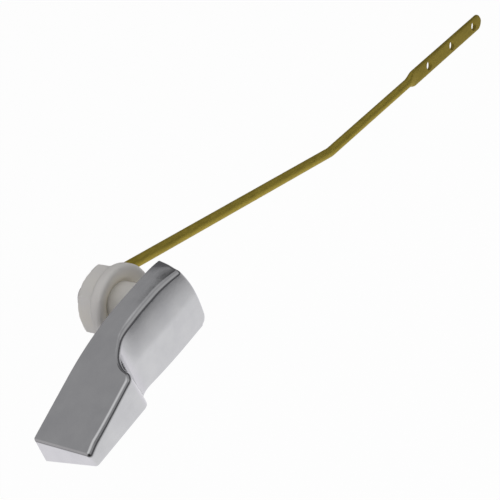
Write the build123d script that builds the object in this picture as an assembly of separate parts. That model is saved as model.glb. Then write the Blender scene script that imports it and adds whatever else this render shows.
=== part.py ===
from build123d import *
import math
import os

# Tank lever: plated handle with a cast spindle, threaded bushing, clamp nut and brass lift arm.
# Millimetres. X runs along the tank wall towards the arm, Y goes into the tank, Z is up.
# The origin is on the spindle axis, in the outer face of the tank wall.

# Tank wall and clearances
tank_wall = 7.6            # wall between the bushing's flange and the nut
rim_gap = 0.6              # handle's back rim to the tank wall
running_clearance = 0.05   # radial, spindle in bushing
thread_clearance = 0.05    # radial, nut on bushing
seat_clearance = 0.02      # radial, arm and screw in their holes
face_clearance = 0.3       # faces that pass each other
stop_clearance = 0.1       # lug to stop faces at the ends of the travel

# Handle outline from above
hub_depth = 11.1
paddle_depth = 22.1
tip_reach = 55.0
paddle_start = 30.0
cove_radius = 11.0
tip_edge_radius = 1.0
paddle_corner_radius = 3.4

# Handle outline from the front
hub_top = 9.5
hub_bottom = 11.6
hub_end = 10.55            # hub's end at the middle of its front edge
hub_end_top = 1.75         # end's step back at the top
hub_end_low = 0.22         # end's step back above the foot
hub_end_slant = 2.8        # end's step to the right from front edge to back edge
hub_foot_rise = 2.8
hub_foot_set = 2.3
top_end_start = 3.5
top_end_radius = 46.0
top_bend_start = 7.0
top_bend_reach = 35.7
top_bend_radius = 101.0
skirt_reach = 24.5
low_bend_radius = 220.0
underside_front = 4.3
underside_back = 8.9
underside_radius = 1.0
top_edge_radius = 1.2
low_edge_radius = 0.5

# Handle hollows
handle_wall = 2.0
recess_wall = 1.2
rib_thickness = 1.6

# Lever travel and its stop
lever_travel = 38.0
lug_inner_radius = 5.4
lug_outer_radius = 6.9
lug_angle = 18.0
lug_height = 1.5
notch_floor = 0.9

# Spindle
spindle_diameter = 8.0
spindle_beyond_arm = 2.5
spindle_chamfer = 0.6

# Bushing
flange_diameter = 15.8
flange_thickness = 2.4
thread_diameter = 13.4
key_width = 3.2
key_height = 0.9
key_length = 4.6
bushing_chamfer = 0.7

# Clamp nut
nut_across_flats = 20.4
nut_thickness = 10.2
nut_back_diameter = 20.4
nut_flange_diameter = 24.2
nut_flange_thickness = 3.8
nut_rim_width = 1.4
nut_dish = 1.1
nut_recess_diameter = 14.8
nut_recess_depth = 1.6
nut_corner_radius = 0.4
nut_edge_chamfer = 0.5
nut_turn = 14.0

# Lift arm
rod_diameter = 3.55
arm_setback = 20.0         # arm axis behind the wall's outer face
arm_tail = 3.6
arm_stub = 12.7
arm_drop = 17.85
first_run = 115.5
arm_rise = 9.7
second_run = 56.0
bend_radius = 8.0
flare_length = 4.0
flat_length = 60.0
flat_width = 6.4
flat_thickness = 1.6
flat_corner_radius = 2.8
chain_hole_diameter = 3.3
chain_hole_pitch = 18.6
chain_hole_count = 3
chain_hole_from_tip = 6.4

# Set screw
screw_diameter = 4.0
screw_socket = 2.0
screw_socket_depth = 1.4

# Places that follow from the sizes
boss_face = -flange_thickness - face_clearance
handle_back = -rim_gap
hub_front = handle_back - hub_depth
paddle_front = handle_back - paddle_depth
recess_radius = flange_diameter / 2 + face_clearance
boss_radius = recess_radius + recess_wall
spindle_radius = spindle_diameter / 2
thread_radius = thread_diameter / 2
rod_radius = rod_diameter / 2
bushing_end = arm_setback - rod_radius - face_clearance
spindle_end = arm_setback + rod_radius + spindle_beyond_arm
nut_back = tank_wall + nut_thickness
cove_x = cove_radius - paddle_start
cove_y = hub_front - cove_radius
top_bend = math.asin((top_bend_reach - top_bend_start) / top_bend_radius)
top_end = math.asin((hub_end + hub_end_slant - top_end_start) / top_end_radius)
lug_middle = 90.0
beyond = tip_reach + paddle_depth   # reaches past the handle in any direction


def along_y(face, start, end):
    """Extrude a face of the XZ plane from y = start to y = end."""
    return Pos(0, start, 0) * extrude(face, amount=start - end)


def bar_y(radius, start, end):
    """Round bar about the spindle axis."""
    return along_y(Plane.XZ * Circle(radius), start, end)


def turned(*profile):
    """Solid turned about the spindle axis from (radius, y) points."""
    return revolve(make_face(Polyline(*profile, close=True)), Axis.Y)


def cove_lift(inset):
    """Angle at the cove's centre up to where the cove meets the paddle."""
    rise = max(paddle_front + inset - cove_y, 0)
    return math.asin(rise / (cove_radius + inset))


def plan_face(inset):
    """Handle outline from above, moved in by inset on every side."""
    tip = inset - tip_reach
    back = handle_back - inset
    front = hub_front + inset
    far = paddle_front + inset
    reach = cove_radius + inset
    wall_x = cove_x - reach * math.cos(cove_lift(inset))
    turn = 90 - math.degrees(cove_lift(inset))
    with BuildSketch() as plan:
        with BuildLine():
            Line((beyond, back), (tip, back))
            Line((tip, back), (tip, far))
            Line((tip, far), (wall_x, far))
            if far < cove_y:
                Line((wall_x, far), (wall_x, cove_y))
            CenterArc((cove_x, cove_y), reach, 90 + turn, -turn)
            Line((cove_x, front), (beyond, front))
            Line((beyond, front), (beyond, back))
        make_face()
    return plan.sketch


def side_face(inset):
    """Handle outline from the front, moved in by inset, without the hub's end."""
    top = hub_top - inset
    low = inset - hub_bottom
    radius = top_bend_radius - inset
    bend_x = -top_bend_start - radius * math.sin(top_bend)
    bend_z = top - radius * (1 - math.cos(top_bend))
    tip_z = bend_z - (beyond + bend_x) * math.tan(top_bend)
    end_radius = top_end_radius - inset
    end_turn = math.degrees(top_end)
    end_x = top_end_start + end_radius * math.sin(top_end)
    end_z = top - end_radius * (1 - math.cos(top_end))
    low_radius = low_bend_radius - inset
    low_bend = math.asin(skirt_reach / low_radius)
    low_z = low + low_radius * (1 - math.cos(low_bend))
    with BuildSketch(Plane.XZ) as side:
        with BuildLine():
            Line((beyond, end_z), (end_x, end_z))
            CenterArc((top_end_start, top - end_radius), end_radius, 90 - end_turn, end_turn)
            Line((top_end_start, top), (-top_bend_start, top))
            CenterArc((-top_bend_start, top - radius), radius, 90, math.degrees(top_bend))
            Line((bend_x, bend_z), (-beyond, tip_z))
            Line((-beyond, tip_z), (-beyond, -beyond))
            Line((-beyond, -beyond), (-skirt_reach, -beyond))
            Line((-skirt_reach, -beyond), (-skirt_reach, low_z))
            CenterArc((0, low + low_radius), low_radius, -90, -math.degrees(low_bend))
            Line((0, low), (beyond, low))
            Line((beyond, low), (beyond, end_z))
        make_face()
    return side.sketch


def end_cut():
    """Space beyond the hub's end, which bows outwards and slants towards the back."""
    high = (hub_end - hub_end_top, hub_top)
    low = (hub_end - hub_end_low, hub_foot_rise - hub_bottom)
    foot_x = low[0] - hub_foot_set
    far = 2 * beyond
    with BuildSketch(Plane.XZ.offset(-hub_front)) as past:
        with BuildLine():
            bow = ThreePointArc(high, (hub_end, -hub_bottom / 3), low)
            foot = TangentArc(low, (foot_x, -hub_bottom), tangent=bow % 1)
            Polyline(foot @ 1, (foot_x, -far), (far, -far), (far, far), (high[0], far), bow @ 0)
        make_face()
    lean = Vector(hub_end_slant, hub_depth, 0)
    return extrude(past.sketch, amount=beyond, dir=lean, both=True)


def handle_block(inset):
    """Plan outline and front outline brought together."""
    plan = Pos(0, 0, -beyond / 2) * extrude(plan_face(inset), amount=beyond)
    return plan & along_y(side_face(inset), beyond / 2, -beyond / 2)


def underside():
    """Space below the paddle: its roof rises towards the front edge."""
    slope = (underside_back - underside_front) / paddle_depth
    with BuildSketch(Plane.YZ) as below:
        with BuildLine():
            Polyline(
                (handle_back + beyond, -underside_back - beyond * slope),
                (handle_back - beyond, -underside_back + beyond * slope),
                (handle_back - beyond, -beyond),
                (handle_back + beyond, -beyond),
                close=True,
            )
        make_face()
    cut = Pos(-skirt_reach, 0, 0) * extrude(below.sketch, amount=-beyond)
    roof = cut.faces().filter_by(lambda f: f.normal_at().Z > 0.5)[0]
    corner = roof.edges().sort_by(Axis.X)[-1]
    return fillet(corner, underside_radius)


def top_height(x):
    """Height of the handle's top at x."""
    past = -top_bend_start - x
    run = top_bend_radius * math.sin(top_bend)
    if past > run:
        bend_drop = top_bend_radius * (1 - math.cos(top_bend))
        return hub_top - bend_drop - (past - run) * math.tan(top_bend)
    if past > 0:
        return hub_top - top_bend_radius + math.sqrt(top_bend_radius**2 - past**2)
    over = max(x - top_end_start, 0)
    return hub_top - top_end_radius + math.sqrt(top_end_radius**2 - over**2)


def low_height(x):
    """Height of the hub's lower side at x."""
    if x >= 0:
        return -hub_bottom
    return low_bend_radius - hub_bottom - math.sqrt(low_bend_radius**2 - x**2)


def follows(edge, height):
    """True for an edge whose points lie at height(x)."""
    return all(abs((edge @ k).Z - height((edge @ k).X)) < 0.002 for k in (0, 0.5, 1))


def lies_at(edge, axis, value):
    """True for an edge whose points share one coordinate."""
    return all(abs(getattr(edge @ k, axis) - value) < 0.002 for k in (0, 0.5, 1))


def is_upright(edge, x, y):
    """True for a straight upright edge at x, y."""
    return lies_at(edge, "X", x) and lies_at(edge, "Y", y)


def is_crown(edge):
    """True for an edge of the top along its front, the cove and the hub's end."""
    middle = edge @ 0.5
    if not follows(edge, top_height) or lies_at(edge, "X", -tip_reach):
        return False
    if lies_at(edge, "Y", handle_back):
        return False
    return middle.Y < hub_front + 0.002 or middle.X > hub_end - hub_end_top


def is_end_front(edge):
    """True for an edge down the front of the hub's end."""
    return lies_at(edge, "Y", hub_front) and (edge @ 0.5).X > hub_end - hub_end_low - hub_foot_set


def is_low_front(edge):
    """True for the lower front edges of the hub and the paddle."""
    hub = lies_at(edge, "Y", hub_front) and follows(edge, low_height)
    paddle = lies_at(edge, "Y", paddle_front) and lies_at(edge, "Z", -underside_front)
    return hub or paddle


def rounded_block():
    """Outside of the handle with its rounded edges."""
    block = handle_block(0) - underside() - end_cut()
    corner_x = cove_x - cove_radius * math.cos(cove_lift(0))
    corner = [e for e in block.edges() if is_upright(e, corner_x, paddle_front)]
    block = fillet(corner, paddle_corner_radius)
    crown = [e for e in block.edges() if is_crown(e) or is_end_front(e)]
    block = fillet(crown, top_edge_radius)
    tip = [e for e in block.edges() if lies_at(e, "X", -tip_reach) and (e @ 0.5).Z > -underside_front]
    tip += [e for e in block.edges() if is_upright(e, -tip_reach, handle_back)]
    block = fillet(tip, tip_edge_radius)
    return fillet([e for e in block.edges() if is_low_front(e)], low_edge_radius)


def hub_hollow():
    """Hollow behind the hub, open to the wall, left of the boss that carries the spindle."""
    hollow = along_y(side_face(handle_wall), 0, hub_front + handle_wall)
    left = handle_wall - skirt_reach
    hollow &= Pos(left, 0, 0) * Box(beyond, beyond, beyond, align=(Align.MIN, Align.CENTER, Align.CENTER))
    hollow &= Box(beyond, beyond, beyond, align=(Align.MAX, Align.CENTER, Align.CENTER))
    hollow -= bar_y(boss_radius, hub_front, 0)
    return hollow - Box(beyond, beyond, rib_thickness)


def paddle_hollow():
    """Hollow under the paddle, open below, with one rib across it."""
    hollow = handle_block(handle_wall)
    right = -skirt_reach - underside_radius
    hollow &= Pos(right, 0, 0) * Box(beyond, beyond, beyond, align=(Align.MAX, Align.CENTER, Align.CENTER))
    rib_x = -(tip_reach + paddle_start) / 2
    return hollow - Pos(rib_x, 0, 0) * Box(rib_thickness, beyond, beyond)


def stop_sector(inner, outer, start_angle, end_angle, start, end):
    """Ring sector about the spindle axis; angles run from +X towards +Z."""
    span = end_angle - start_angle
    with BuildSketch(Plane.XZ) as ring:
        with BuildLine():
            outside = CenterArc((0, 0), outer, start_angle, span)
            inside = CenterArc((0, 0), inner, start_angle, span)
            Line(outside @ 0, inside @ 0)
            Line(outside @ 1, inside @ 1)
        make_face()
    return along_y(ring.sketch, start, end)


def spindle():
    """Cast shaft with a cross hole for the arm and a screw hole in its end."""
    shaft = turned(
        (0, hub_front / 2),
        (spindle_radius, hub_front / 2),
        (spindle_radius, spindle_end - spindle_chamfer),
        (spindle_radius - spindle_chamfer, spindle_end),
        (0, spindle_end),
    )
    cross = Plane.YZ.offset(-spindle_radius) * Pos(arm_setback, 0) * Circle(rod_radius + seat_clearance)
    shaft -= extrude(cross, amount=spindle_diameter)
    return shaft - bar_y(screw_diameter / 2 + seat_clearance, arm_setback, spindle_end)


def handle_part():
    """Hub, paddle, spindle and stop lug in one casting."""
    body = rounded_block() - hub_hollow() - paddle_hollow()
    body -= bar_y(recess_radius, boss_face, 0)
    half = lug_angle / 2
    lug = stop_sector(
        lug_inner_radius, lug_outer_radius, lug_middle - half, lug_middle + half,
        boss_face - recess_wall, boss_face + lug_height,
    )
    return body + spindle() + lug


def bushing_part():
    """Flanged sleeve with a key for the tank's hole and a notch for the stop lug."""
    sleeve = turned(
        (spindle_radius + running_clearance, -flange_thickness),
        (flange_diameter / 2, -flange_thickness),
        (flange_diameter / 2, 0),
        (thread_radius, 0),
        (thread_radius, bushing_end - bushing_chamfer),
        (thread_radius - bushing_chamfer, bushing_end),
        (spindle_radius + running_clearance, bushing_end),
    )
    key = Pos(0, 0, -thread_radius) * Box(
        key_width, key_length, 2 * key_height, align=(Align.CENTER, Align.MIN, Align.CENTER)
    )
    slack = math.degrees(stop_clearance / lug_outer_radius)
    half = lug_angle / 2 + slack
    notch = stop_sector(
        lug_inner_radius - face_clearance, flange_diameter, lug_middle - half,
        lug_middle + half + lever_travel, -flange_thickness, -notch_floor,
    )
    return sleeve + key - notch


def nut_part():
    """Hexagon nut with a round flange, dished on the side of the wall."""
    hexagon = RegularPolygon(nut_across_flats / 2, 6, major_radius=False, rotation=nut_turn)
    corners = fillet(hexagon.vertices(), nut_corner_radius)
    rim = nut_flange_diameter / 2
    crest = nut_back_diameter / 2
    blank = turned(
        (0, tank_wall),
        (crest + nut_thickness, tank_wall),
        (crest, nut_back),
        (0, nut_back),
    )
    nut = along_y(Plane.XZ * corners, tank_wall, nut_back) & blank
    flange = bar_y(rim, tank_wall, tank_wall + nut_flange_thickness)
    flange = chamfer(flange.edges().filter_by(GeomType.CIRCLE), nut_edge_chamfer)
    bore = thread_radius + thread_clearance
    recess = nut_recess_diameter / 2
    space = turned(
        (0, tank_wall),
        (rim - nut_rim_width, tank_wall),
        (recess, tank_wall + nut_dish),
        (recess, tank_wall + nut_recess_depth),
        (bore, tank_wall + nut_recess_depth),
        (bore, nut_back),
        (0, nut_back),
    )
    return nut + flange - space


def arm_part():
    """Bent round rod, flattened and pierced at its far end."""
    first = math.radians(-arm_drop)
    second = math.radians(arm_rise - arm_drop)
    elbow = (arm_stub + first_run * math.cos(first), first_run * math.sin(first))
    end = (elbow[0] + second_run * math.cos(second), elbow[1] + second_run * math.sin(second))
    plane = Plane.XZ.offset(-arm_setback)
    path = plane * FilletPolyline((-arm_tail, 0), (arm_stub, 0), elbow, end, radius=bend_radius)
    tail = Plane((-arm_tail, arm_setback, 0), x_dir=(0, 1, 0), z_dir=(1, 0, 0))
    rod = sweep(tail * Circle(rod_radius), path=path)
    heading = Vector(math.cos(second), 0, math.sin(second))
    flare_start = Vector(end[0], arm_setback, end[1])
    flare_end = flare_start + heading * flare_length
    round_end = Plane(flare_start, x_dir=(0, 1, 0), z_dir=heading) * Circle(rod_radius)
    flat_end = Plane(flare_end, x_dir=(0, 1, 0), z_dir=heading) * Rectangle(flat_thickness, flat_width)
    flare = loft([round_end, flat_end])
    blade = flat_length - flare_length
    with BuildSketch(Plane(flare_end, x_dir=heading, z_dir=(0, -1, 0))) as strip:
        with Locations((blade / 2, 0)):
            Rectangle(blade, flat_width)
        fillet(strip.vertices().group_by(Axis.X)[-1], flat_corner_radius)
        with Locations([
            (blade - chain_hole_from_tip - k * chain_hole_pitch, 0) for k in range(chain_hole_count)
        ]):
            Circle(chain_hole_diameter / 2, mode=Mode.SUBTRACT)
    flat = extrude(strip.sketch, amount=flat_thickness / 2, both=True)
    return rod + flare + flat


def screw_part():
    """Set screw that holds the arm in the spindle."""
    seat = arm_setback + rod_radius
    screw = bar_y(screw_diameter / 2, seat, spindle_end)
    socket = Plane.XZ * RegularPolygon(screw_socket / 2, 6, major_radius=False)
    return screw - along_y(socket, spindle_end - screw_socket_depth, spindle_end)


os.makedirs("parts", exist_ok=True)
parts = {
    "handle": handle_part(),
    "bushing": bushing_part(),
    "clamp_nut": nut_part(),
    "lift_arm": arm_part(),
    "set_screw": screw_part(),
}
for name, solid in parts.items():
    export_step(solid, f"parts/{name}.step")
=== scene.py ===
import math

import bpy
import numpy as np
from mathutils import Matrix, Vector


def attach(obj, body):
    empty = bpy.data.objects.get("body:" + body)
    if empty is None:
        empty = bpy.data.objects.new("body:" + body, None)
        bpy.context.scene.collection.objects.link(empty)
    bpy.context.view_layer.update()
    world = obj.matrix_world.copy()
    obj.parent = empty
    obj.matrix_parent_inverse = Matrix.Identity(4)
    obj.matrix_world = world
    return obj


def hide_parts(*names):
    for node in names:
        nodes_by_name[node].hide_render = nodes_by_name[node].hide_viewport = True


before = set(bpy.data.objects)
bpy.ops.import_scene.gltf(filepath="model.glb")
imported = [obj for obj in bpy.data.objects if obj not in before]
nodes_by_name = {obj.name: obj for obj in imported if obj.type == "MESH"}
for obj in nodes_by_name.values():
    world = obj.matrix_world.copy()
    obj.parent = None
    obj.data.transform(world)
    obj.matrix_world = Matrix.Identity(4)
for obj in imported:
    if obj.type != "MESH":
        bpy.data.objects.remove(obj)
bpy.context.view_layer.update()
scene = bpy.context.scene
scene.view_settings.view_transform = "Standard"

NOISE_ROUGHNESS = 0.55
WHITE = (1.0, 1.0, 1.0, 1.0)


# Node helpers
def put(tree, socket, value):
    """Link a socket to another one, or set a constant on it."""
    if isinstance(value, bpy.types.NodeSocket):
        tree.links.new(value, socket)
    else:
        socket.default_value = value


def add(tree, kind, inputs=None, **settings):
    """New node with its properties set and its inputs, by name or number, linked or set."""
    node = tree.nodes.new(kind)
    for key, value in settings.items():
        setattr(node, key, value)
    for key, value in (inputs or {}).items():
        put(tree, node.inputs[key], value)
    return node


def reckon(tree, operation, *values):
    """Math on sockets or numbers."""
    return add(tree, "ShaderNodeMath", dict(enumerate(values)), operation=operation).outputs["Value"]


def reckon_vector(tree, operation, *values):
    """Vector math on sockets or vectors, with its Value and Vector outputs."""
    return add(tree, "ShaderNodeVectorMath", dict(enumerate(values)), operation=operation).outputs


def spread(tree, source, low, high):
    """Source mapped from low and high to 0 and 1."""
    inputs = {"Value": source, "From Min": low, "From Max": high}
    return add(tree, "ShaderNodeMapRange", inputs).outputs["Result"]


def blend(tree, factor, first, second, kind="MIX"):
    """Mix of two colours."""
    inputs = {"Factor": factor, "A": first, "B": second}
    return add(tree, "ShaderNodeMix", inputs, data_type="RGBA", blend_type=kind).outputs["Result"]


def ramp(tree, source, stops):
    """Colour ramp with (position, colour) stops, fed by source."""
    node = add(tree, "ShaderNodeValToRGB", {"Fac": source})
    while len(node.color_ramp.elements) < len(stops):
        node.color_ramp.elements.new(0.5)
    for element, (position, colour) in zip(node.color_ramp.elements, stops):
        element.position = position
        element.color = (*colour, 1.0)
    return node.outputs["Color"]


def grey(value):
    return (value, value, value)


def object_coords(tree, scale=(1, 1, 1)):
    """Object coordinates stretched by scale."""
    coords = tree.nodes.new("ShaderNodeTexCoord").outputs["Object"]
    return add(tree, "ShaderNodeMapping", {"Vector": coords, "Scale": scale}).outputs["Vector"]


def axes_of(tree, vector):
    """X, Y and Z of a vector."""
    return add(tree, "ShaderNodeSeparateXYZ", {"Vector": vector}).outputs


def noise(tree, coords, scale, detail):
    inputs = {"Vector": coords, "Scale": scale, "Detail": detail, "Roughness": NOISE_ROUGHNESS}
    return add(tree, "ShaderNodeTexNoise", inputs).outputs["Fac"]


def bump(tree, height, strength, distance):
    inputs = {"Height": height, "Strength": strength, "Distance": distance}
    return add(tree, "ShaderNodeBump", inputs).outputs["Normal"]


def empty_material(name):
    material = bpy.data.materials.new(name)
    material.use_nodes = True
    material.node_tree.nodes.clear()
    return material, material.node_tree


def show(tree, surface):
    """Put a shader on the material's output."""
    add(tree, "ShaderNodeOutputMaterial", {"Surface": surface})


def principled(tree, inputs):
    return add(tree, "ShaderNodeBsdfPrincipled", inputs).outputs["BSDF"]


# Materials
def plated_zinc():
    """Bright plating over polished zinc: faint orange peel, polishing haze and fine lines."""
    material, tree = empty_material("plated_zinc")
    coords = object_coords(tree)
    haze = noise(tree, coords, 160.0, 4.0)
    lines = noise(tree, object_coords(tree, (90, 1400, 1400)), 1.0, 2.0)
    peel = noise(tree, coords, 420.0, 2.0)
    skin = {
        "Metallic": 1.0,
        "Base Color": ramp(tree, haze, [(0.3, (0.60, 0.60, 0.615)), (0.7, (0.655, 0.655, 0.665))]),
        "Roughness": ramp(tree, lines, [(0.35, grey(0.10)), (0.75, grey(0.17))]),
        "Normal": bump(tree, peel, 0.05, 0.0004),
    }
    show(tree, principled(tree, skin))
    return material


def drawn_brass():
    """Drawn brass: dull brown skin, streaks along its length and darker spots, browner on the flat."""
    material, tree = empty_material("drawn_brass")
    coords = object_coords(tree)
    streaks = noise(tree, object_coords(tree, (40, 900, 900)), 1.0, 4.0)
    spots = noise(tree, coords, 260.0, 5.0)
    on_flat = spread(tree, axes_of(tree, coords)["X"], 0.174, 0.186)
    colour = ramp(tree, streaks, [(0.25, (0.36, 0.278, 0.046)), (0.75, (0.47, 0.37, 0.066))])
    dark = ramp(tree, spots, [(0.30, grey(0.86)), (0.50, grey(1.0))])
    # the flat end's colour is made darker
    darker_on_flat = ramp(tree, on_flat, [(0.0, grey(1.0)), (1.0, (0.76, 0.75, 0.74))])
    for layer in (dark, darker_on_flat):
        colour = blend(tree, 1.0, colour, layer, "MULTIPLY")
    skin = {
        "Metallic": 0.6,
        "Specular IOR Level": 0.2,
        "Specular Tint": (1.0, 0.9, 0.5, 1.0),
        "Base Color": colour,
        "Roughness": ramp(tree, streaks, [(0.2, grey(0.38)), (0.8, grey(0.54))]),
        "Normal": bump(tree, streaks, 0.07, 0.0003),
    }
    show(tree, principled(tree, skin))
    return material


def moulded_plastic(name, light, deep):
    """Moulded nylon with a matt grain: one colour away from the spindle axis and a second near it, which on
    the nut is painted light that lifts the recess's shade.
    """
    material, tree = empty_material(name)
    coords = object_coords(tree)
    axes = axes_of(tree, coords)
    across = add(tree, "ShaderNodeCombineXYZ", {"X": axes["X"], "Y": axes["Z"]}).outputs["Vector"]
    reach = reckon_vector(tree, "LENGTH", across)["Value"]
    cloud = noise(tree, coords, 90.0, 4.0)
    # mask of the colour painted near the spindle axis, its edge blurred by the cloud noise
    outside = spread(tree, reckon(tree, "MULTIPLY_ADD", cloud, 0.003, reach), 0.0075, 0.0125)
    grain = noise(tree, coords, 600.0, 2.0)
    skin = {
        "Base Color": ramp(tree, outside, [(0.0, deep), (1.0, light)]),
        "Roughness": ramp(tree, grain, [(0.3, grey(0.42)), (0.7, grey(0.55))]),
    }
    show(tree, principled(tree, skin))
    return material


def plated_steel():
    """Zinc-plated steel of the screw."""
    material, tree = empty_material("plated_steel")
    mottle = noise(tree, object_coords(tree), 900.0, 3.0)
    skin = {
        "Metallic": 1.0,
        "Base Color": ramp(tree, mottle, [(0.3, (0.42, 0.42, 0.43)), (0.7, (0.56, 0.56, 0.57))]),
        "Roughness": ramp(tree, mottle, [(0.3, grey(0.25)), (0.7, grey(0.42))]),
        "Normal": bump(tree, mottle, 0.1, 0.0002),
    }
    show(tree, principled(tree, skin))
    return material


def dress(piece, material):
    """Give a piece one material."""
    piece.data.materials.clear()
    piece.data.materials.append(material)


# Mesh helpers, which work in mm
def mesh_arrays(mesh):
    """Points, normals and triangles of a carried-over mesh."""
    mesh.calc_loop_triangles()
    flat = np.zeros(len(mesh.vertices) * 3, np.float32)
    mesh.vertices.foreach_get("co", flat)
    points = flat.reshape(-1, 3).astype(float) * 1000.0
    normals = np.zeros_like(points)
    for loop, corner in zip(mesh.loops, mesh.corner_normals):
        normals[loop.vertex_index] = corner.vector
    return points, normals, [tuple(t.vertices) for t in mesh.loop_triangles]


def new_piece(name, points, faces, normals=None):
    mesh = bpy.data.meshes.new(name)
    mesh.from_pydata((np.asarray(points) / 1000.0).tolist(), [], faces, shade_flat=False)
    if normals is not None:
        mesh.normals_split_custom_set_from_vertices(np.asarray(normals).tolist())
    piece = bpy.data.objects.new(name, mesh)
    scene.collection.objects.link(piece)
    return piece


def smooth(value, start, end):
    """Soft step from 0 at start to 1 at end."""
    part = np.clip((value - start) / (end - start), 0.0, 1.0)
    return part * part * (3.0 - 2.0 * part)


def above(value, level):
    """How far a value is above a level, or 0."""
    return np.clip(value - level, 0.0, None)


MOST_HALVINGS = 7
# Which of a triangle's edges stay whole, turned so that the halved ones come first
SPLIT_PATTERNS = [(True, True, True), (False, True, True), (False, False, True), (False, False, False)]


def split_long(points, normals, faces, longest, spared):
    """Halve long edges, apart from the spared ones, until none is left, both sides alike."""
    for _ in range(MOST_HALVINGS):
        middle = {}

        def half(a, b):
            key = (min(a, b), max(a, b))
            if key not in middle:
                p, q = points[a], points[b]
                if np.linalg.norm(p - q) < longest or spared(p, q):
                    middle[key] = None
                else:
                    middle[key] = len(points)
                    points.append((p + q) / 2)
                    n = normals[a] + normals[b]
                    normals.append(n / np.linalg.norm(n))
            return middle[key]

        result = []
        for a, b, c in faces:
            ab, bc, ca = half(a, b), half(b, c), half(c, a)
            for _turn in range(3):
                if (ab is None, bc is None, ca is None) in SPLIT_PATTERNS:
                    break
                a, b, c, ab, bc, ca = b, c, a, bc, ca, ab
            cut = 3 - [ab, bc, ca].count(None)
            if cut == 0:
                result.append((a, b, c))
            elif cut == 1:
                result += [(a, ab, c), (ab, b, c)]
            elif cut == 2:
                result += [(a, ab, c), (ab, bc, c), (ab, b, bc)]
            else:
                result += [(a, ab, ca), (ab, b, bc), (ca, bc, c), (ab, bc, ca)]
        if len(result) == len(faces):
            break
        faces = result
    return faces


# Handle with its front crowned towards the top edge
HUB_CROWN, CROWN_FROM = 0.0270, -1.6
HUB_END_EASE, HUB_END_FROM, HUB_END_TO = 0.55, -2.0, 10.5
PADDLE_LEAN, LEAN_POWER, PADDLE_FROM, PADDLE_TO = 1.45, 1.3, -15.0, -31.0
PADDLE_LOW, PADDLE_TALL, MOST_RISE = -4.3, 13.8, 1.3
TOP_ARC_FROM, TOP_ARC_RADIUS, MOST_FALL = -7.0, 101.0, 9.6
COVE_EASE, COVE_AT, COVE_WIDE = 0.35, -23.0, 4.0
STEP_FROM, STEP_LONG = -18.0, 13.0
HUB_DEPTHS, PADDLE_DEPTHS = np.array((-3.0, -9.8)), np.array((-12.0, -20.0))
SEEN_HUB, SEEN_PADDLE, SEEN_EASE, SEEN_EASE_FROM = 0.0194, 0.16, 0.022, 2.0
TOP_ROLL, ROLL_FROM_Y, ROLL_LOW, ROLL_HIGH = 0.012, -6.3, 2.0, 8.0
ROLL_END_FROM, ROLL_END_TO = -13.0, -20.0
FRONT_EDGE, FRONT_BEHIND, FRONT_BELOW = 1.3, -2.5, -5.0


def set_back(points, seen=False):
    """How far each point leans back into the casting, or the gentler lean that its gloss shows."""
    x, y, z = points.T
    along = smooth(x, PADDLE_FROM, PADDLE_TO)
    fall = np.where(x < TOP_ARC_FROM, (x - TOP_ARC_FROM) ** 2 / (2 * TOP_ARC_RADIUS), 0.0)
    rise = np.clip((z - PADDLE_LOW) / (PADDLE_TALL - np.minimum(fall, MOST_FALL)), 0.0, MOST_RISE)
    crown = above(z, CROWN_FROM) ** 2
    paddle = PADDLE_LEAN * rise**LEAN_POWER
    if seen:
        hub = SEEN_HUB * (crown - SEEN_EASE * above(z, SEEN_EASE_FROM) ** 3)
        paddle = SEEN_PADDLE * paddle
    else:
        hub = HUB_CROWN * crown * (1.0 - HUB_END_EASE * smooth(x, HUB_END_FROM, HUB_END_TO))
    depth = (1.0 - along) * hub + along * paddle
    depth *= 1.0 - COVE_EASE * np.exp(-(((x - COVE_AT) / COVE_WIDE) ** 2))
    far = np.clip((STEP_FROM - x) / STEP_LONG, 0.0, 1.0)[:, None]
    start, end = (HUB_DEPTHS + far * (PADDLE_DEPTHS - HUB_DEPTHS)).T
    return depth * smooth(y, start, end)


def roll_over(points):
    """How far the hub's top drops towards its front edge."""
    x, y, z = points.T
    hub = 1.0 - smooth(x, ROLL_END_FROM, ROLL_END_TO)
    return TOP_ROLL * above(-y, -ROLL_FROM_Y) ** 2 * smooth(z, ROLL_LOW, ROLL_HIGH) * hub


def gradient(field, points, step=0.002):
    ahead, behind = [[field(points + k * d) for d in np.eye(3) * step] for k in (1, -1)]
    return (np.stack(ahead, axis=1) - np.stack(behind, axis=1)) / (2 * step)


def turn_normals(normals, slope, axis):
    """Normals after points moved along one axis by a field with this slope."""
    turned = normals - (normals[:, axis] / (1.0 + slope[:, axis]))[:, None] * slope
    return turned / np.linalg.norm(turned, axis=1)[:, None]


def off_front(p, q):
    """Whether an edge reaches behind or lies below the crowned front."""
    return max(p[1], q[1]) > FRONT_BEHIND or max(p[2], q[2]) < FRONT_BELOW


def crowned_handle(source):
    """Handle whose mesh has the full lean, and whose normals have the gentler one."""
    points, normals, faces = mesh_arrays(source.data)
    points, normals = list(points), list(normals)
    faces = split_long(points, normals, faces, FRONT_EDGE, off_front)
    points, normals = np.array(points), np.array(normals)
    normals = turn_normals(normals, -gradient(roll_over, points), 2)
    points[:, 2] -= roll_over(points)
    normals = turn_normals(normals, gradient(lambda p: set_back(p, True), points), 1)
    points[:, 1] += set_back(points)
    return new_piece("crowned_handle", points, faces, normals)


handle = crowned_handle(nodes_by_name["handle"])
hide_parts("handle")
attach(handle, "lever")

# Nut with its outer edges worn soft, its bore as it is
NUT_EDGE, BORE_SPARED, BORE_KEPT = 0.9, 7.0, 7.2
WEAR_PASSES, WEAR_SHARE, NUT_SHARP = 2, 0.5, math.radians(50)


def near_bore(p, q):
    return max(np.hypot(p[0], p[2]), np.hypot(q[0], q[2])) < BORE_SPARED


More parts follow.
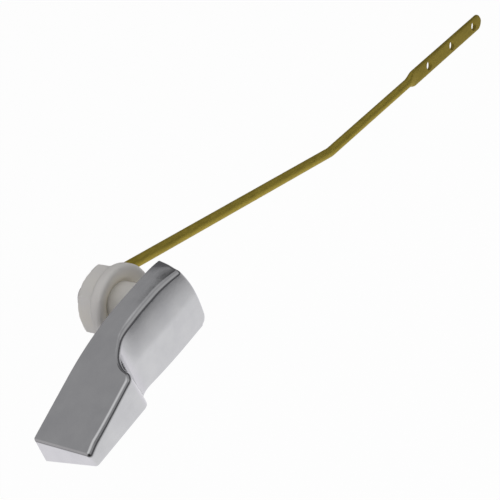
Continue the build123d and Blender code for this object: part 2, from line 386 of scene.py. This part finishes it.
def soft_nut(source):
    points, normals, faces = mesh_arrays(source.data)
    _, first, place = np.unique(np.round(points, 3), axis=0, return_index=True, return_inverse=True)
    place = place.ravel()
    points, normals = list(points[first]), list(normals[first])
    faces = [tuple(int(place[i]) for i in f) for f in faces]
    faces = [f for f in faces if len(set(f)) == 3]
    faces = split_long(points, normals, faces, NUT_EDGE, near_bore)
    points = np.array(points)
    edges = np.array(sorted({tuple(sorted((f[i], f[i - 1]))) for f in faces for i in range(3)}))
    ends = np.concatenate([edges, edges[:, ::-1]])
    count = np.bincount(ends[:, 0], minlength=len(points))[:, None]
    free = (np.hypot(points[:, 0], points[:, 2]) > BORE_KEPT)[:, None]
    for _ in range(WEAR_PASSES):
        total = np.zeros_like(points)
        np.add.at(total, ends[:, 0], points[ends[:, 1]])
        points = points + WEAR_SHARE * free * (total / count - points)
    piece = new_piece("soft_nut", points, faces)
    piece.data.set_sharp_from_angle(angle=NUT_SHARP)
    return piece


# Arm: the carried-over rod up to its flare, and a hammered flat end with round edges and dished holes
ARM_START, ARM_BACK, FIRST_RUN, SECOND_RUN = 12.7, 20.0, 115.5, 56.0
ARM_DROP, ARM_RISE = 17.85, 9.7
ROD, FLAT_LONG, FLAT_HALF, FLAT_THICK = 1.775, 60.0, 3.2, 1.6
FLARE_WIDE, FLARE_THIN_FROM, FLARE_THIN_TO = 5.0, -1.0, 7.5
NOSE, NOSE_THIN, NOSE_THIN_FROM = 2.8, 0.12, 56.0
SQUARING, SQUARE_AT = 0.42, 8.0
RING_POINTS, FLAT_SHARP, ROD_PAST_FLARE = 48, math.radians(38), 0.05
HOLE_COUNT, HOLE_FROM_TIP, HOLE_PITCH = 3, 6.4, 18.6
HOLE_PROFILE = ((-1.2, 2.35), (-0.55, 1.65), (0.55, 1.65), (1.2, 2.35))


def run_ways(angle):
    """Directions along and across a run of the arm at an angle to level, in degrees."""
    cos, sin = math.cos(math.radians(angle)), math.sin(math.radians(angle))
    return np.array((cos, 0.0, sin)), np.array((-sin, 0.0, cos))


FIRST_AHEAD, _ = run_ways(-ARM_DROP)
ARM_AHEAD, ARM_ACROSS = run_ways(ARM_RISE - ARM_DROP)
ARM_DEEP = np.array((0.0, 1.0, 0.0))
FLARE = np.array((ARM_START, ARM_BACK, 0.0)) + FIRST_RUN * FIRST_AHEAD + SECOND_RUN * ARM_AHEAD


def arm_rod(source):
    points, normals, faces = mesh_arrays(source.data)
    ahead = (points - FLARE) @ ARM_AHEAD
    faces = [f for f in faces if max(ahead[i] for i in f) < ROD_PAST_FLARE]
    used = sorted({i for f in faces for i in f})
    place = {old: new for new, old in enumerate(used)}
    faces = [tuple(place[i] for i in f) for f in faces]
    return new_piece("arm_rod", points[used], faces, normals[used])


def tube(rings):
    """Closed skin over rings of equal size."""
    size = len(rings[0])
    faces = []
    for start in range(0, (len(rings) - 1) * size, size):
        for i in range(size):
            j = (i + 1) % size
            faces.append((start + i, start + size + i, start + size + j, start + j))
    last = (len(rings) - 1) * size
    faces += [tuple(range(size)), tuple(reversed(range(last, last + size)))]
    return np.concatenate(rings), faces


def flat_ring(s, cos, sin):
    """Rounded section of the flat end, s mm past the flare."""
    past = above(s, FLAT_LONG - NOSE)
    wide = ROD + (FLAT_HALF - ROD) * smooth(s, 0.0, FLARE_WIDE)
    wide -= NOSE - math.sqrt(max(NOSE**2 - past**2, 0.0))
    thick = ROD + (FLAT_THICK / 2 - ROD) * smooth(s, FLARE_THIN_FROM, FLARE_THIN_TO)
    thick -= NOSE_THIN * smooth(s, NOSE_THIN_FROM, FLAT_LONG)
    power = 1.0 - SQUARING * smooth(s, 0.0, SQUARE_AT)
    across = wide * np.sign(cos) * np.abs(cos) ** power
    deep = thick * np.sign(sin) * np.abs(sin) ** power
    return FLARE + s * ARM_AHEAD + across[:, None] * ARM_ACROSS + deep[:, None] * ARM_DEEP


def arm_flat():
    turn = np.linspace(0.0, 2 * math.pi, RING_POINTS, endpoint=False)
    cos, sin = np.cos(turn), np.sin(turn)
    nose = FLAT_LONG - NOSE + NOSE * np.sin(np.linspace(0.0, 0.5 * math.pi, 9))
    stations = np.concatenate([np.linspace(0.0, 9.0, 19), np.linspace(10.5, 57.0, 32), nose])
    piece = new_piece("arm_flat", *tube([flat_ring(s, cos, sin) for s in stations]))
    circle = cos[:, None] * ARM_ACROSS - sin[:, None] * ARM_AHEAD
    points, faces = [], []
    for k in range(HOLE_COUNT):
        middle = FLARE + (FLAT_LONG - HOLE_FROM_TIP - HOLE_PITCH * k) * ARM_AHEAD
        more, skin = tube([middle + radius * circle + deep * ARM_DEEP for deep, radius in HOLE_PROFILE])
        faces += [tuple(i + len(points) for i in f) for f in skin]
        points += list(more)
    cutter = new_piece("hole_cutter", points, faces)
    holes = piece.modifiers.new("holes", "BOOLEAN")
    holes.object = cutter
    holes.solver = "EXACT"
    bpy.context.view_layer.update()
    cut = piece.evaluated_get(bpy.context.evaluated_depsgraph_get())
    cut_mesh = bpy.data.meshes.new_from_object(cut)
    piece.modifiers.clear()
    piece.data = cut_mesh
    bpy.data.objects.remove(cutter)
    cut_mesh.set_sharp_from_angle(angle=FLAT_SHARP)
    return piece


rod, flat_end = arm_rod(nodes_by_name["lift_arm"]), arm_flat()
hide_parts("lift_arm")
brass = drawn_brass()
for piece in (rod, flat_end):
    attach(piece, "lever")
    dress(piece, brass)
dress(nodes_by_name["lift_arm"], brass)
zinc = plated_zinc()
dress(handle, zinc)
dress(nodes_by_name["handle"], zinc)
# the nut's second colour is painted light near the axis, brighter and yellower, lifting its recess's shade
nut_plastic = moulded_plastic("nut_plastic", (0.74, 0.72, 0.695), (0.93, 0.87, 0.72))
dress(nodes_by_name["clamp_nut"], nut_plastic)
nut = soft_nut(nodes_by_name["clamp_nut"])
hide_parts("clamp_nut")
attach(nut, "nut")
dress(nut, nut_plastic)
bushing_plastic = moulded_plastic("bushing_plastic", (0.74, 0.725, 0.72), (0.70, 0.68, 0.64))
dress(nodes_by_name["bushing"], bushing_plastic)
dress(nodes_by_name["set_screw"], plated_steel())

# Floor and studio
FLOOR_Z, FLOOR_SIZE, FLOOR_WHITE = -0.30, 12.0, 0.97
POOL_SHIFT, POOL_SCALE = (0.08, -0.10, 0.0), 0.25
POOL = [
    (0.00, grey(1.00)),
    (0.10, grey(1.00)),
    (0.1415, grey(0.92)),
    (0.1715, grey(0.76)),
    (0.294, grey(0.60)),
    (0.53, grey(0.43)),
    (0.95, grey(0.30)),
]


def show_white(tree, lit, share, white="ShaderNodeEmission", glow=WHITE):
    """Let the camera see mostly plain white in place of a lit shader, and mirrors and glass its glow."""
    path = tree.nodes.new("ShaderNodeLightPath").outputs
    mirrored = reckon(tree, "MAXIMUM", path["Is Glossy Ray"], path["Is Transmission Ray"])
    rays = reckon(tree, "MAXIMUM", path["Is Camera Ray"], mirrored)
    colour = blend(tree, mirrored, WHITE, glow)
    plain = add(tree, white, {"Color": colour, "Strength": 1.0}).outputs[0]
    inputs = {"Fac": reckon(tree, "MULTIPLY", rays, share), 1: lit, 2: plain}
    return add(tree, "ShaderNodeMixShader", inputs).outputs["Shader"]


def pool_of_light(tree):
    """White paper near the object that falls off with distance, a little lilac behind it."""
    coords = object_coords(tree)
    shifted = reckon_vector(tree, "ADD", coords, POOL_SHIFT)["Vector"]
    reach = reckon_vector(tree, "LENGTH", shifted)["Value"]
    level = ramp(tree, reckon(tree, "MULTIPLY", reach, POOL_SCALE), POOL)
    behind = spread(tree, axes_of(tree, coords)["Y"], -0.25, -0.10)
    tint = ramp(tree, behind, [(0.0, (0.98, 0.98, 0.99)), (1.0, (0.98, 0.965, 1.0))])
    return blend(tree, 1.0, level, tint, "MULTIPLY")


def floor_paper():
    material, tree = empty_material("floor_paper")
    lit = principled(tree, {"Base Color": (0.85, 0.85, 0.86, 1), "Roughness": 0.9})
    show(tree, show_white(tree, lit, FLOOR_WHITE, glow=pool_of_light(tree)))
    return material


bpy.ops.mesh.primitive_plane_add(size=FLOOR_SIZE, location=(0, 0, FLOOR_Z))
floor = bpy.context.object
floor.name = "floor"
dress(floor, floor_paper())

# Light tent, which mirrors see and the camera doesn't: levels by height, and panels as heading, edge, level
TENT_RADIUS = 4.0
TENT = [
    (0.00, (0.11, 0.11, 0.115)),
    (0.49, (0.12, 0.12, 0.125)),
    (0.59, (0.36, 0.36, 0.365)),
    (0.85, (0.37, 0.37, 0.375)),
    (1.00, (0.85, 0.85, 0.85)),
]
PANELS = [
    ((-0.62, 0.60, 0.55), (0.84, 0.93), (0.50, 0.488, 0.495)),
    ((0.572, -0.56, 0.675), (0.955, 0.985), (0.48, 0.48, 0.48)),
    ((0.609, 0.40, 0.684), (0.985, 0.992), (0.09, 0.09, 0.09)),
    ((-0.572, -0.594, 0.64), (0.80, 0.91), (0.03, 0.03, 0.03)),
]


def tent_cloth():
    material, tree = empty_material("tent_cloth")
    outward = reckon_vector(tree, "NORMALIZE", object_coords(tree))["Vector"]
    colour = ramp(tree, axes_of(tree, outward)["Z"], TENT)
    for heading, (outer, inner), level in PANELS:
        near = reckon_vector(tree, "DOT_PRODUCT", outward, Vector(heading).normalized())["Value"]
        mask = ramp(tree, near, [(outer, grey(0.0)), (inner, grey(1.0))])
        colour = blend(tree, mask, colour, (*level, 1.0))
    show(tree, add(tree, "ShaderNodeEmission", {"Color": colour}).outputs["Emission"])
    return material


tent_place = (0, 0, FLOOR_Z)
bpy.ops.mesh.primitive_uv_sphere_add(segments=48, ring_count=24, radius=TENT_RADIUS, location=tent_place)
tent = bpy.context.object
tent.name = "light_tent"
tent.visible_camera = False
dress(tent, tent_cloth())


# Soft lamps that light the dull parts and are not mirrored
def soft_lamp(name, place, size, energy):
    data = bpy.data.lights.new(name, "AREA")
    data.shape = "SQUARE"
    data.size = size
    data.energy = energy
    lamp = bpy.data.objects.new(name, data)
    lamp.location = place
    lamp.rotation_euler = (-Vector(place)).to_track_quat("-Z", "Y").to_euler()
    lamp.visible_glossy = False
    scene.collection.objects.link(lamp)


soft_lamp("overhead", (-0.3, -0.4, 1.5), 2.0, 5.0)
soft_lamp("reflector_left", (-0.8, -0.45, -0.16), 0.9, 6.0)
soft_lamp("reflector_right", (0.9, -0.5, 0.5), 0.9, 2.0)

world = bpy.data.worlds.new("studio")
scene.world = world
world.use_nodes = True
tree = world.node_tree
tree.nodes.clear()
around = add(tree, "ShaderNodeBackground", {"Color": (0.5, 0.5, 0.5, 1)}).outputs["Background"]
surface = show_white(tree, around, 1.0, "ShaderNodeBackground")
add(tree, "ShaderNodeOutputWorld", {"Surface": surface})

# Camera at the photograph's angle, in degrees, metres and mm of lens
CAMERA_HEADING, CAMERA_TILT, CAMERA_ROLL = -43.893, 55.5717, -21.3856
CAMERA_PLACE = (-0.22488, -0.283851, 0.252655)
CAMERA_LENS, CAMERA_SENSOR = 107.92, 36.0

camera_data = bpy.data.cameras.new("photo_camera")
camera_data.sensor_width = CAMERA_SENSOR
camera_data.lens = CAMERA_LENS
camera_data.clip_end = 20.0
camera = bpy.data.objects.new("photo_camera", camera_data)
camera_pose = Matrix.Translation(CAMERA_PLACE)
for angle, axis in ((CAMERA_HEADING, "Z"), (CAMERA_TILT, "X"), (CAMERA_ROLL, "Z")):
    camera_pose = camera_pose @ Matrix.Rotation(math.radians(angle), 4, axis)
camera.matrix_world = camera_pose
scene.collection.objects.link(camera)
scene.camera = camera
